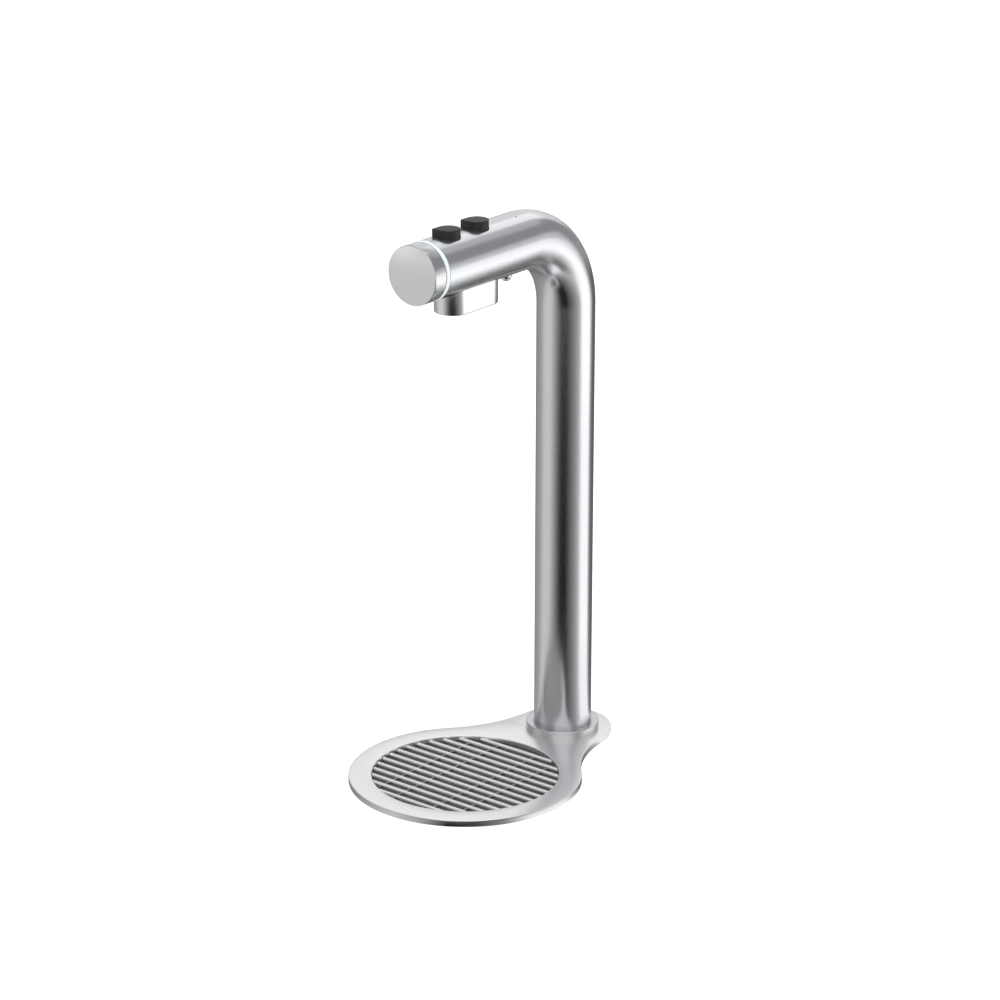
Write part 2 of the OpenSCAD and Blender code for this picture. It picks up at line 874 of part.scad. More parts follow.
module cap_plug() {
    plug_l = plug_back + ring_w + cap_l - cap_face_t - fit_gap;
    color("dimgray")
        on_arm(ring_rear - plug_back) {
            cylinder(r = plug_r, h = plug_l);
            translate([0, 0, -board_t - over])
                cylinder(d = plug_stub_d, h = board_t + over);
        }
}

module light_ring() {
    inner = plug_r + fit_gap;
    color("lightcyan")
        on_arm(ring_rear)
            rotate_extrude()
                polygon([[inner, -lip_l], [bore_r - fit_gap, -lip_l], [bore_r - fit_gap, 0],
                         [tube_r, 0], [tube_r, ring_w], [inner, ring_w]]);
}

module end_cap() {
    inner = plug_r + fit_gap;
    color("lightgray")
        on_arm(ring_front)
            rotate_extrude()
                polygon([[inner, 0], [tube_r, 0], [tube_r, cap_l - cap_bevel], [tube_r - cap_bevel, cap_l],
                         [0, cap_l], [0, cap_l - cap_face_t], [inner, cap_l - cap_face_t]]);
}

base_plate();
drip_dish();
dish_gasket();
drip_grille();
foot_seal();
foot_collar();
foot_insert();
set_screws();
hot_union();
cold_union();
supply_socket();
swan_neck();
status_lens();
hot_hose();
cold_hose();
wiring_loom();
loom_plug();
outlet_manifold();
outlet_block();
block_screw();
hot_nozzle();
cold_nozzle();
nozzle_seals();
clamp_screw();
button_carrier();
front_button();
rear_button();
front_spring();
rear_spring();
switch_board();
front_switch();
rear_switch();
board_screws();
light_board();
cap_plug();
light_ring();
end_cap();
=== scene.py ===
"""Studio scene of a worktop hot and cold water tap: swan-neck tower, droplet buttons, drip tray."""
import json
import math

import bmesh
import bpy
from mathutils import Matrix, Vector


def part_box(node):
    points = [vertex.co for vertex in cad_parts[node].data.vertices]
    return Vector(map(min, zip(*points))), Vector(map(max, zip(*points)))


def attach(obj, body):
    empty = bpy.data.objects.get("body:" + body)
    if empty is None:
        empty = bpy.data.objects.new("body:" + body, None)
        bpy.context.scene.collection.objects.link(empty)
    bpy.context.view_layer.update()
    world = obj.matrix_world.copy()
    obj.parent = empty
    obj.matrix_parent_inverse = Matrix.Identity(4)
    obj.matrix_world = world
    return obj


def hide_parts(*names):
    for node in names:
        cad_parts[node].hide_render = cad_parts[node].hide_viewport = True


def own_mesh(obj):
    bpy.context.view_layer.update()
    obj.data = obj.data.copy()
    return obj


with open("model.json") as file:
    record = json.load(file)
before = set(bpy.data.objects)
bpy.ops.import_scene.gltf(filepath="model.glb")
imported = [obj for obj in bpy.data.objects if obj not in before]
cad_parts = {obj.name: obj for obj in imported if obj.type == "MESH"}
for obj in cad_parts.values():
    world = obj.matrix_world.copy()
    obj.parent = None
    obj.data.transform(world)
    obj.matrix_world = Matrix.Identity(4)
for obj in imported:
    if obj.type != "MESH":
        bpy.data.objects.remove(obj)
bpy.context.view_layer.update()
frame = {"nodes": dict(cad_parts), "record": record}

MM = 0.001

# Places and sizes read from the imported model, in metres
neck_low, neck_high = map(Vector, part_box("swan_neck"))
cap_low, cap_high = map(Vector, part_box("end_cap"))
ring_low, ring_high = map(Vector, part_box("light_ring"))
collar_low, collar_high = map(Vector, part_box("foot_collar"))
plate_low, plate_high = map(Vector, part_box("base_plate"))
dish_high = Vector(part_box("drip_dish")[1])
grille_low, grille_high = map(Vector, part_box("drip_grille"))
block_low, block_high = map(Vector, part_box("outlet_block"))
clamp_low, clamp_high = map(Vector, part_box("clamp_screw"))
seal_high = Vector(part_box("foot_seal")[1])
lens_low, lens_high = map(Vector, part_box("status_lens"))

TUBE_R = neck_high.x
ARM_Z = neck_high.z - TUBE_R
COLUMN_FOOT = neck_low.z
ARM_END = neck_low.y
DISC_R = plate_high.x
TAIL_R = plate_high.y
TRAY_Y = plate_low.y + DISC_R
DISH_R = dish_high.x
GRILLE_R = grille_high.x
BLOCK_Y = (block_low.y + block_high.y) / 2
CLAMP_Y = (clamp_low.y + clamp_high.y) / 2
LENS_Y = (lens_low.y + lens_high.y) / 2

# Sizes that no box gives, the same as in the part's source
TUBE_WALL = 1.5 * MM
BORE_R = TUBE_R - TUBE_WALL
BEND_R = 67.5 * MM
NECK_R = 115 * MM
TRAY_R = 80 * MM
REBATE_H = 1.2 * MM
SEAL_INNER = 27.5 * MM
BUTTON_R = 9.8 * MM
BUTTON_CORNER = 1.2 * MM
FLANGE_W = 1 * MM
FLANGE_T = 1.5 * MM
STEM_D = 7 * MM
WELL_GAP = 0.35 * MM
SPRING_WIRE = 0.8 * MM
SPRING_TURNS = 4
LENS_TURN = math.radians(16)
LENS_HOLE_D = 2 * MM
NOZZLE_HOLE_D = 10.2 * MM
BLOCK_SCREW_D = 5 * MM
BLOCK_SCREW_HEAD = 1.7 * BLOCK_SCREW_D
CLAMP_HEAD_D = 10 * MM
CLAMP_D = 5 * MM
CAP_FACE_T = 3 * MM
BAR_D = 3 * MM
BAR_COUNT = 14
BAR_PITCH = 10.74 * MM
WIRE_D = 1.6 * MM
WIRE_INNER = 19.7 * MM
WIRE_OUTER = 43 * MM
FIT_GAP = 0.1 * MM

# Hidden steps inside the cap and the ring, inwards from the tube's bore
CAP_STEP = 1.4 * MM
RING_STEP = 1.5 * MM

# Rounded edges
CAP_EDGE = 0.6 * MM
COLLAR_EDGE = 0.6 * MM
BLOCK_EDGE = 1.2 * MM
BUTTON_EDGE = 0.5 * MM
PLATE_EDGE = 0.5 * MM
PLATE_UNDER_EDGE = 0.2 * MM
HAIR_EDGE = 0.1 * MM
EDGE_STEPS = 4
SHARP_ANGLE = math.radians(32)

# Steps of round forms
ROUND = 128
SEAT_ROUND = 256
TRAY_ROUND = 200
TAIL_STEPS = 64
WAIST_STEPS = 40
BLOCK_END_STEPS = 64
HOLE_ROUND = 48
LENS_ROUND = 32
DROPLET_STEPS = 72
CORNER_STEPS = 8
DOME_STEPS = 16
COLUMN_STEPS = 60
BEND_STEPS = 64
ARM_STEPS = 48
COIL_STEPS = 32
COIL_SIDES = 12
BAR_SIDES = 32
WIRE_SIDES = 24

# The ring's glow fades over this width at both edges of its band, and its base colour darkens there as
# painted shade of the joints
RING_FADE = 1.4 * MM
RING_STEPS = 12


# Materials

GRAIN_SHADE = 0.96
GRAIN_DEPTH = 0.02 * MM
CLOUD_SCALE = 60.0
CLOUD_GLOSS = 0.06
CLOUD_DARK = 0.9
CLOUD_PALE = 1.06
TEXTURE_STRENGTH = 0.4
BAR_METALLIC = 0.4


def opaque(tint):
    return (*tint, 1)


def node_at(tree, kind, x, y, **inputs):
    """Adds a shader node at a place in the tree and sets its inputs by name."""
    node = tree.nodes.new(kind)
    node.location = (x, y)
    for name, value in inputs.items():
        node.inputs[name.replace("_", " ")].default_value = value
    return node


def math_node(tree, operation, a, b=None):
    """A Math node on sockets or plain numbers, and its output."""
    node = tree.nodes.new("ShaderNodeMath")
    node.operation = operation
    for socket, value in zip(node.inputs, (a, b)):
        if isinstance(value, (int, float)):
            socket.default_value = value
        elif value is not None:
            tree.links.new(value, socket)
    return node.outputs["Value"]


def empty_material(name):
    """A material with nothing but its output node, and that node's surface socket."""
    material = bpy.data.materials.new(name)
    material.use_nodes = True
    tree = material.node_tree
    tree.nodes.clear()
    output = node_at(tree, "ShaderNodeOutputMaterial", 600, 0)
    return material, tree, output.inputs["Surface"]


def new_material(name):
    """A material with a plain Principled shader, and that shader."""
    material, tree, surface = empty_material(name)
    shader = node_at(tree, "ShaderNodeBsdfPrincipled", 300, 0)
    tree.links.new(shader.outputs["BSDF"], surface)
    return material, tree, shader


def surface_point(tree, stretch, attribute=None):
    """Object coordinates, or a vector attribute of the piece, stretched along its axes."""
    if attribute:
        source = node_at(tree, "ShaderNodeAttribute", -900, 0)
        source.attribute_name = attribute
        point = source.outputs["Vector"]
    else:
        source = node_at(tree, "ShaderNodeTexCoord", -900, 0)
        point = source.outputs["Object"]
    mapping = node_at(tree, "ShaderNodeMapping", -700, 0, Scale=stretch)
    tree.links.new(point, mapping.inputs["Vector"])
    return mapping.outputs["Vector"]


def vary_gloss(tree, shader, noise, roughness, spread):
    """Noise makes the surface a little rougher or smoother."""
    gloss = node_at(tree, "ShaderNodeMapRange", -250, -100,
                    To_Min=roughness - spread, To_Max=roughness + spread)
    tree.links.new(noise, gloss.inputs["Value"])
    tree.links.new(gloss.outputs["Result"], shader.inputs["Roughness"])


def vary_tint(tree, shader, noise, dark, pale):
    """Noise moves the base colour between two tints."""
    colour = node_at(tree, "ShaderNodeMixRGB", -250, 200, Color1=opaque(dark), Color2=opaque(pale))
    tree.links.new(noise, colour.inputs["Fac"])
    tree.links.new(colour.outputs["Color"], shader.inputs["Base Color"])


def add_bump(tree, shader, noise, strength, depth):
    """Noise raises a fine bump."""
    bump = node_at(tree, "ShaderNodeBump", 50, -250, Strength=strength, Distance=depth)
    tree.links.new(noise, bump.inputs["Height"])
    tree.links.new(bump.outputs["Normal"], shader.inputs["Normal"])


def steel(name, tint, roughness, spread, stretch, scratch, attribute=None):
    """Steel with a grain: noise stretched along the polishing lines drives gloss and a faint bump."""
    material, tree, shader = new_material(name)
    shader.inputs["Metallic"].default_value = 1
    point = surface_point(tree, stretch, attribute)
    grain = node_at(tree, "ShaderNodeTexNoise", -500, 0, Scale=1.0, Detail=4.0, Roughness=0.6)
    tree.links.new(point, grain.inputs["Vector"])
    noise = grain.outputs["Fac"]
    vary_gloss(tree, shader, noise, roughness, spread)
    vary_tint(tree, shader, noise, [GRAIN_SHADE * c for c in tint], tint)
    add_bump(tree, shader, noise, scratch, GRAIN_DEPTH)
    return material


def moulded(name, tint, roughness, texture_size, depth, coat=0.0, specular=0.5):
    """Moulded plastic, rubber or coated sheet with a fine tooled texture and uneven gloss."""
    material, tree, shader = new_material(name)
    shader.inputs["Coat Weight"].default_value = coat
    shader.inputs["Specular IOR Level"].default_value = specular
    point = surface_point(tree, (1, 1, 1))
    texture = node_at(tree, "ShaderNodeTexNoise", -500, 0, Scale=1 / texture_size, Detail=3.0)
    cloud = node_at(tree, "ShaderNodeTexNoise", -500, 250, Scale=CLOUD_SCALE, Detail=2.0)
    tree.links.new(point, texture.inputs["Vector"])
    tree.links.new(point, cloud.inputs["Vector"])
    vary_gloss(tree, shader, cloud.outputs["Fac"], roughness, CLOUD_GLOSS)
    vary_tint(tree, shader, cloud.outputs["Fac"], [CLOUD_DARK * c for c in tint],
              [min(CLOUD_PALE * c, 1) for c in tint])
    add_bump(tree, shader, texture.outputs["Fac"], TEXTURE_STRENGTH, depth)
    return material


def second_tint(tree, shader, attribute, tint, where):
    """Another base colour where the piece's attribute is 0 or 1, and the attribute's value."""
    value = node_at(tree, "ShaderNodeAttribute", -250, 450)
    value.attribute_name = attribute
    both = node_at(tree, "ShaderNodeMixRGB", 50, 250)
    first_tint = shader.inputs["Base Color"].links[0].from_socket
    first, second = ("Color2", "Color1") if where == 0 else ("Color1", "Color2")
    both.inputs[second].default_value = opaque(tint)
    tree.links.new(first_tint, both.inputs[first])
    tree.links.new(value.outputs["Fac"], both.inputs["Fac"])
    tree.links.new(both.outputs["Color"], shader.inputs["Base Color"])
    return value.outputs["Fac"]


def glowing(name, tint, shaded_edge_tint, glow_tint, strength):
    """Translucent plastic lit from behind, dimmer towards the edges of the band, where its base colour
    darkens as painted shade of the joints.
    """
    material = moulded(name, tint, roughness=0.35, texture_size=0.4 * MM, depth=0.01 * MM)
    tree = material.node_tree
    shader = tree.nodes["Principled BSDF"]
    shader.inputs["Emission Color"].default_value = opaque(glow_tint)
    # At the band's edges the base colour goes to the darker tint: painted shade of the joints.
    glow = second_tint(tree, shader, "glow", shaded_edge_tint, 0)
    lit = math_node(tree, "MULTIPLY", glow, strength)
    tree.links.new(lit, shader.inputs["Emission Strength"])
    return material


def welded_bars(name, bar_tint, shaded_wire_tint):
    """Bright satin bars on wires darkened with painted shade, where the bars above shade them: the mesh says
    which is which.
    """
    material = steel(name, bar_tint, roughness=0.2, spread=0.04, stretch=ACROSS_PLATE, scratch=0.15)
    tree = material.node_tree
    shader = tree.nodes["Principled BSDF"]
    shader.inputs["Metallic"].default_value = BAR_METALLIC
    # The wires' dark tint is painted shade under the bars.
    second_tint(tree, shader, "wire", shaded_wire_tint, 1)
    return material


ALONG_TUBE = (900, 900, 25)
ACROSS_PLATE = (30, 1400, 1400)
FINE = (700, 700, 700)

steels = {
    "satin_steel": dict(tint=(0.63, 0.635, 0.65), roughness=0.22, spread=0.03, stretch=ALONG_TUBE,
                        scratch=0.25, attribute="unbent"),
    "cap_steel": dict(tint=(0.62, 0.62, 0.625), roughness=0.22, spread=0.03, stretch=FINE, scratch=0.2),
    "plate_steel": dict(tint=(0.9, 0.9, 0.905), roughness=0.31, spread=0.03, stretch=ACROSS_PLATE,
                        scratch=0.25),
    "collar_steel": dict(tint=(0.67, 0.67, 0.675), roughness=0.29, spread=0.03, stretch=FINE, scratch=0.25),
    "polished_steel": dict(tint=(0.68, 0.68, 0.69), roughness=0.22, spread=0.02, stretch=FINE, scratch=0.05),
    "turned_steel": dict(tint=(0.58, 0.58, 0.58), roughness=0.3, spread=0.05, stretch=FINE, scratch=0.3),
}
mouldings = {
    "button_black": dict(tint=(0.016, 0.016, 0.017), roughness=0.5, texture_size=0.35 * MM,
                         depth=0.02 * MM, specular=0.38),
    "black_plastic": dict(tint=(0.04, 0.04, 0.04), roughness=0.45, texture_size=0.4 * MM, depth=0.02 * MM),
    "dish_black": dict(tint=(0.13, 0.13, 0.132), roughness=0.4, texture_size=0.8 * MM, depth=0.02 * MM),
    "pale_plastic": dict(tint=(0.78, 0.78, 0.75), roughness=0.45, texture_size=0.4 * MM, depth=0.02 * MM),
    "lens_plastic": dict(tint=(0.06, 0.06, 0.065), roughness=0.15, texture_size=0.4 * MM,
                         depth=0.005 * MM, coat=0.5),
    "hot_plastic": dict(tint=(0.55, 0.08, 0.06), roughness=0.4, texture_size=0.4 * MM, depth=0.02 * MM),
    "cold_plastic": dict(tint=(0.12, 0.3, 0.55), roughness=0.4, texture_size=0.4 * MM, depth=0.02 * MM),
    "hot_hose_rubber": dict(tint=(0.45, 0.1, 0.08), roughness=0.6, texture_size=0.5 * MM, depth=0.03 * MM),
    "board_green": dict(tint=(0.02, 0.18, 0.07), roughness=0.35, texture_size=0.3 * MM, depth=0.01 * MM,
                        coat=0.3),
    "seal_rubber": dict(tint=(0.03, 0.03, 0.03), roughness=0.65, texture_size=0.5 * MM, depth=0.03 * MM),
}
finishes = {name: steel(name, **look) for name, look in steels.items()}
finishes.update({name: moulded(name, **look) for name, look in mouldings.items()})
# The grille wires' dark tint is painted shade under the bars.
finishes["bar_steel"] = welded_bars("bar_steel", bar_tint=(1.0, 1.0, 1.0), shaded_wire_tint=(0.3, 0.3, 0.305))
# The ring's darker edge tint is painted shade of the joints beside it.
finishes["ring_plastic"] = glowing("ring_plastic", tint=(0.32, 0.35, 0.36), shaded_edge_tint=(0.26, 0.28, 0.29),
                                   glow_tint=(0.88, 0.97, 1.0), strength=0.72)
slot_of_node = {part["node"]: part["material_slot"] for part in frame["record"]["subparts"]}

for node_name, node_object in frame["nodes"].items():
    node_object.data.materials.clear()
    node_object.data.materials.append(finishes[slot_of_node[node_name]])


# Shapes

def new_object(name, data):
    """An object for a mesh, curve, lamp or camera, in the scene."""
    item = bpy.data.objects.new(name, data)
    bpy.context.scene.collection.objects.link(item)
    return item


def piece_from(name, mesh, finish):
    """An object for a finished mesh, smooth with sharp edges, with its finish as the only material."""
    mesh.materials.clear()
    mesh.materials.append(finishes[finish])
    mesh.polygons.foreach_set("use_smooth", [True] * len(mesh.polygons))
    mesh.set_sharp_from_angle(angle=SHARP_ANGLE)
    return new_object(name, mesh)


def place_piece(piece, body, finish, *nodes):
    """The piece rides on its body and stands for its CAD nodes."""
    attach(piece, body)
    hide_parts(*nodes)


def baked(piece):
    """The piece's mesh with its modifiers worked in, and the modifiers removed."""
    evaluated = piece.evaluated_get(bpy.context.evaluated_depsgraph_get())
    mesh = bpy.data.meshes.new_from_object(evaluated)
    piece.modifiers.clear()
    return mesh


def mesh_from(name, bm):
    """A mesh from a bmesh, its doubles merged and its faces turned outwards."""
    bmesh.ops.remove_doubles(bm, verts=bm.verts, dist=0.001 * MM)
    bmesh.ops.recalc_face_normals(bm, faces=bm.faces)
    mesh = bpy.data.meshes.new(name)
    bm.to_mesh(mesh)
    bm.free()
    return mesh


def merged(name, mesh):
    """A copy of a mesh, its doubles merged and its faces turned outwards."""
    bm = bmesh.new()
    bm.from_mesh(mesh)
    return mesh_from(name, bm)


def arc(centre, radius, start, end, steps):
    """Points on an arc in the plane, angles in degrees."""
    turns = [math.radians(start + (end - start) * i / steps) for i in range(steps + 1)]
    return [Vector((centre[0] + radius * math.cos(t), centre[1] + radius * math.sin(t))) for t in turns]


def circle(centre, radius, steps):
    """Points round a circle, the first one not repeated."""
    return arc(centre, radius, 0, 360, steps)[:-1]


def inset_loop(loop, inset):
    """A closed anticlockwise loop moved inwards by a distance."""
    moved = []
    for before, here, after in zip(loop[-1:] + loop[:-1], loop, loop[1:] + loop[:1]):
        edge_in = (here - before).normalized()
        edge_out = (after - here).normalized()
        along = (edge_in + edge_out).normalized()
        moved.append(here + inset * Vector((-along.y, along.x)))
    return moved


def rounded_levels(bottom, top, bottom_round, top_round):
    """Insets and heights of a wall with rounded edges, from the bottom to the top."""
    turns = [math.radians(90 * i / EDGE_STEPS) for i in range(EDGE_STEPS + 1)]
    levels = []
    for turn in turns:
        levels.append((bottom_round * (1 - math.sin(turn)), bottom + bottom_round * (1 - math.cos(turn))))
    for turn in turns:
        levels.append((top_round * (1 - math.cos(turn)), top - top_round * (1 - math.sin(turn))))
    return levels


def add_slab(bm, outline, holes, levels):
    """A flat solid with a rounded outline and round-edged holes, closed above and below."""
    first_edges, last_edges = [], []
    for loop, way in [(outline, 1)] + [(hole, -1) for hole in holes]:
        rings = []
        for inset, z in levels:
            rings.append([bm.verts.new((p.x, p.y, z)) for p in inset_loop(loop, way * inset)])
        count = len(loop)
        for low, high in zip(rings, rings[1:]):
            for i in range(count):
                k = (i + 1) % count
                bm.faces.new((low[i], low[k], high[k], high[i]))
        for ring, edges in ((rings[0], first_edges), (rings[-1], last_edges)):
            edges += [bm.edges.get((ring[i], ring[(i + 1) % count])) for i in range(count)]
    for edges in (first_edges, last_edges):
        bmesh.ops.triangle_fill(bm, edges=edges, use_beauty=True)


def add_lathe(bm, profile, place, steps=ROUND):
    """A turned solid: a closed profile of radius and height pairs, spun round its axis and placed."""
    columns = []
    for i in range(steps):
        turn = 2 * math.pi * i / steps
        columns.append([bm.verts.new(place @ Vector((r * math.cos(turn), r * math.sin(turn), z)))
                        for r, z in profile])
    for a, b in zip(columns, columns[1:] + columns[:1]):
        for i in range(len(profile)):
            k = (i + 1) % len(profile)
            corners = [a[i], b[i], b[k], a[k]]
            if profile[i][0] == 0 and profile[k][0] == 0:
                continue
            if profile[i][0] == 0:
                corners = [a[i], b[k], a[k]]
            elif profile[k][0] == 0:
                corners = [a[i], b[i], a[k]]
            bm.faces.new(corners)


def round_profile(inner, outer, low, high):
    """Profile of a plain ring, or of a plain rod where the inner radius is 0."""
    return [(inner, low), (outer, low), (outer, high), (inner, high)]


def turned(name, profile, place, finish):
    """A piece made on the lathe."""
    bm = bmesh.new()
    add_lathe(bm, profile, place)
    return piece_from(name, mesh_from(name, bm), finish)


def fillet(r, z, size, turn_from, turn_to, steps=EDGE_STEPS):
    """Points of a rounded corner in a profile, round the centre (r, z)."""
    return [(p.x, p.y) for p in arc((r, z), size, turn_from, turn_to, steps)]


def on_arm(y):
    """Places a turned piece on the arm's axis, its own +Z pointing forwards."""
    return Matrix.Translation((0, y, ARM_Z)) @ Matrix.Rotation(math.radians(90), 4, "X")


def upright(y):
    """Places a turned piece upright in the middle plane."""
    return Matrix.Translation((0, y, 0))


def cutter(name, bm):
    """A hidden solid that a Boolean takes away."""
    return new_object(name, mesh_from(name, bm))


def round_cutter(name, profile, place, steps=ROUND):
    """A hidden turned solid that a Boolean takes away."""
    bm = bmesh.new()
    add_lathe(bm, profile, place, steps)
    return cutter(name, bm)


def cut(mesh, tools):
    """The mesh with the tools taken away; the tools are removed afterwards."""
    blank = new_object("blank", mesh)
    for tool in tools:
        step = blank.modifiers.new(tool.name, "BOOLEAN")
        step.operation = "DIFFERENCE"
        step.solver = "EXACT"
        step.object = tool
    result = baked(blank)
    bpy.data.objects.remove(blank)
    for tool in tools:
        bpy.data.objects.remove(tool)
    return result


def droplet(grow, centre):
    """Outline of a droplet button, grown on all sides: a circle with one rounded corner at the front left."""
    x, y = centre
    r = BUTTON_R + grow
    corner = BUTTON_CORNER + grow
    tip = (x + corner - r, y + corner - r)
    return arc(centre, r, -90, 180, DROPLET_STEPS) + arc(tip, corner, 180, 270, CORNER_STEPS)


def plate_outline():
    """A round front, a round tail and two hollow curves between them, anticlockwise."""
    tray = -TRAY_Y
    reach_disc = DISC_R + NECK_R
    reach_tail = TAIL_R + NECK_R
    back = (reach_disc ** 2 - reach_tail ** 2 - tray ** 2) / (2 * tray)
    side = math.sqrt(reach_tail ** 2 - back ** 2)
    tail_turn = math.degrees(math.atan2(back, side))
    disc_turn = math.degrees(math.atan2(back + tray, side))
    loop = arc((0, 0), TAIL_R, tail_turn, 180 - tail_turn, TAIL_STEPS)
    loop += arc((-side, back), NECK_R, -tail_turn, -disc_turn, WAIST_STEPS)[1:]
    loop += arc((0, TRAY_Y), DISC_R, 180 - disc_turn, 360 + disc_turn, TRAY_ROUND)[1:]
    loop += arc((side, back), NECK_R, 180 + disc_turn, 180 + tail_turn, WAIST_STEPS)[1:-1]
    return loop


# Geometry Nodes

def new_tree(name, sockets):
    """A geometry tree with named inputs, its input node and its output node."""
    tree = bpy.data.node_groups.new(name, "GeometryNodeTree")
    tree.interface.new_socket("Geometry", in_out="INPUT", socket_type="NodeSocketGeometry")
    for label, kind in sockets.items():
        tree.interface.new_socket(label, in_out="INPUT", socket_type="NodeSocket" + kind)
    tree.interface.new_socket("Geometry", in_out="OUTPUT", socket_type="NodeSocketGeometry")
    start = tree.nodes.new("NodeGroupInput")
    end = tree.nodes.new("NodeGroupOutput")
    return tree, start, end


def finish_tree(tree, geometry, material_socket, end):
    """Ends the tree in Realize Instances and Set Material."""
    realize = tree.nodes.new("GeometryNodeRealizeInstances")
    paint = tree.nodes.new("GeometryNodeSetMaterial")
    tree.links.new(geometry, realize.inputs["Geometry"])
    tree.links.new(realize.outputs["Geometry"], paint.inputs["Geometry"])
    tree.links.new(material_socket, paint.inputs["Material"])
    tree.links.new(paint.outputs["Geometry"], end.inputs["Geometry"])


def grown(name, data, tree, values):
    """The plain mesh that a tree makes from a start object, its inputs set by identifier."""
    start = new_object(name, data)
    step = start.modifiers.new(name, "NODES")
    step.node_group = tree
    for item in tree.interface.items_tree:
        if item.in_out == "INPUT" and item.name in values:
            step[item.identifier] = values[item.name]
    mesh = baked(start)
    bpy.data.objects.remove(start)
    return mesh


def path_curve(name, places):
    """A curve through points that lie close together."""
    curve = bpy.data.curves.new(name, "CURVE")
    curve.dimensions = "3D"
    spline = curve.splines.new("POLY")
    spline.points.add(len(places) - 1)
    for point, place in zip(spline.points, places):
        point.co = (*place, 1)
    return curve


def tube_tree():
    """A round tube along the start curve, open or closed at its ends."""
    tree, start, end = new_tree("tube_along_path", {"Radius": "Float", "Sides": "Int", "Closed": "Bool",
                                                    "Material": "Material"})
    ring = tree.nodes.new("GeometryNodeCurvePrimitiveCircle")
    sweep = tree.nodes.new("GeometryNodeCurveToMesh")
    tree.links.new(start.outputs["Radius"], ring.inputs["Radius"])
    tree.links.new(start.outputs["Sides"], ring.inputs["Resolution"])
    tree.links.new(start.outputs["Geometry"], sweep.inputs["Curve"])
    tree.links.new(ring.outputs["Curve"], sweep.inputs["Profile Curve"])
    tree.links.new(start.outputs["Closed"], sweep.inputs["Fill Caps"])
    finish_tree(tree, sweep.outputs["Mesh"], start.outputs["Material"], end)
    return tree


def bar_row_tree():
    """A row of round bars that reach just past a circle: bars along X, spread along Y."""
    tree, start, end = new_tree("bars_in_a_circle", {"Circle": "Float", "Bar": "Float", "Sides": "Int",
                                                     "Material": "Material"})
    rod = tree.nodes.new("GeometryNodeMeshCylinder")
    rod.inputs["Depth"].default_value = 1
    half = math_node(tree, "DIVIDE", start.outputs["Bar"], 2.0)
    tree.links.new(half, rod.inputs["Radius"])
    tree.links.new(start.outputs["Sides"], rod.inputs["Vertices"])
    place = tree.nodes.new("GeometryNodeInputPosition")
    split = tree.nodes.new("ShaderNodeSeparateXYZ")
    tree.links.new(place.outputs["Position"], split.inputs["Vector"])
    square = math_node(tree, "SUBTRACT", math_node(tree, "POWER", start.outputs["Circle"], 2.0),
                       math_node(tree, "POWER", split.outputs["Y"], 2.0))
    chord = math_node(tree, "MULTIPLY", math_node(tree, "SQRT", square), 2.0)
    long = math_node(tree, "ADD", chord, start.outputs["Bar"])
    size = tree.nodes.new("ShaderNodeCombineXYZ")
    size.inputs["X"].default_value = 1
    size.inputs["Y"].default_value = 1
    tree.links.new(long, size.inputs["Z"])
    spread = tree.nodes.new("GeometryNodeInstanceOnPoints")
    spread.inputs["Rotation"].default_value = (0, math.radians(90), 0)
    tree.links.new(start.outputs["Geometry"], spread.inputs["Points"])
    tree.links.new(rod.outputs["Mesh"], spread.inputs["Instance"])
    tree.links.new(size.outputs["Vector"], spread.inputs["Scale"])
    finish_tree(tree, spread.outputs["Instances"], start.outputs["Material"], end)
    return tree


tube_along_path = tube_tree()
bars_in_a_circle = bar_row_tree()


# Swan neck

BEND_FOOT = ARM_Z - BEND_R


def neck_path():
    """Points of the tube's axis from the foot to the front, close together."""
    column = BEND_FOOT - COLUMN_FOOT
    arm = ARM_END + BEND_R
    path = [Vector((0, 0, COLUMN_FOOT + column * i / COLUMN_STEPS)) for i in range(COLUMN_STEPS)]
    for i in range(BEND_STEPS):
        turn = math.radians(90 * i / BEND_STEPS)
        path.append(Vector((0, BEND_R * (math.cos(turn) - 1), BEND_FOOT + BEND_R * math.sin(turn))))
    path += [Vector((0, -BEND_R + arm * i / ARM_STEPS, ARM_Z)) for i in range(ARM_STEPS + 1)]
    return path


def unbent_place(p):
    """Place of a point on the tube if the tube were straight: across, across and along."""
    if p.z <= BEND_FOOT:
        return (p.x, p.y, p.z)
    from_centre = Vector((p.y + BEND_R, p.z - BEND_FOOT))
    if from_centre.x >= 0:
        turn = math.atan2(from_centre.y, from_centre.x)
        return (p.x, from_centre.length - BEND_R, BEND_FOOT + BEND_R * turn)
    return (p.x, p.z - ARM_Z, BEND_FOOT + BEND_R * math.pi / 2 - from_centre.x)


def button_centre(node):
    """Plan centre of a button's round part, and its underside and top."""
    low, high = map(Vector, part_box(node))
    reach = BUTTON_R + FLANGE_W
    return (high.x - reach, high.y - reach), low.z, high.z


def neck_wall():
    """The whole tube with its wall, before its holes."""
    shell = grown("swan_neck_shell", path_curve("neck_path", neck_path()), tube_along_path,
                  {"Radius": TUBE_R, "Sides": ROUND, "Closed": False, "Material": finishes["satin_steel"]})
    wall = new_object("neck_wall", merged("neck_wall", shell))
    thick = wall.modifiers.new("wall", "SOLIDIFY")
    thick.thickness = TUBE_WALL
    thick.offset = -1
    tube = baked(wall)
    bpy.data.objects.remove(wall)
    return tube


